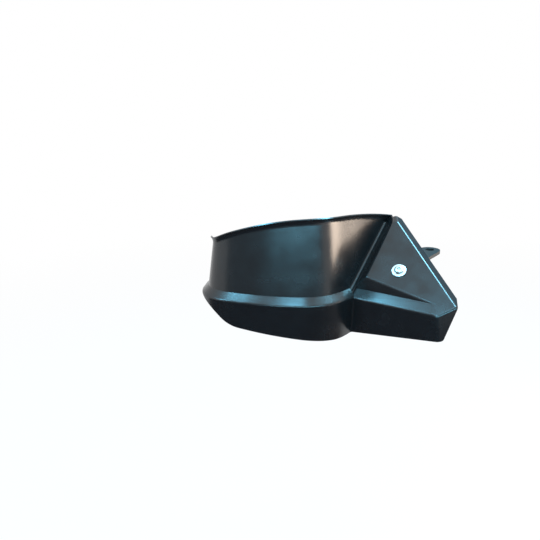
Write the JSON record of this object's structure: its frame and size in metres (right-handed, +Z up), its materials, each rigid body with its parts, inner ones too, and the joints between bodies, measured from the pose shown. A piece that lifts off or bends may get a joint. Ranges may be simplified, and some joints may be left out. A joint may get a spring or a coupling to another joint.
{
  "type": "motorcycle hand guard",
  "caption": "Right-hand motorcycle hand guard: arched thin shell with a flared lip, ledge, skirt and raised triangular pad, bolted to a bent strip with an eye for the mirror stem.",
  "frame": {"origin": "centre of the mirror eye, at half the strip's thickness", "axes": "+X inboard along the length, +Y rearward, +Z up along the eye"},
  "size_m": [0.2778, 0.1377, 0.1368],
  "materials": {
    "shell": "satin moulded black",
    "stainless": "polished stainless steel",
    "bracket": "satin black powder coat",
    "zinc": "zinc plate",
    "nylon": "plain nylon"
  },
  "bodies": {
    "root": {"guard_shell": "shell", "panel_washer": "stainless", "panel_screw": "stainless", "mount_bracket": "bracket", "back_washer": "zinc", "lock_nut": "zinc", "nut_insert": "nylon"}
  },
  "joints": []
}
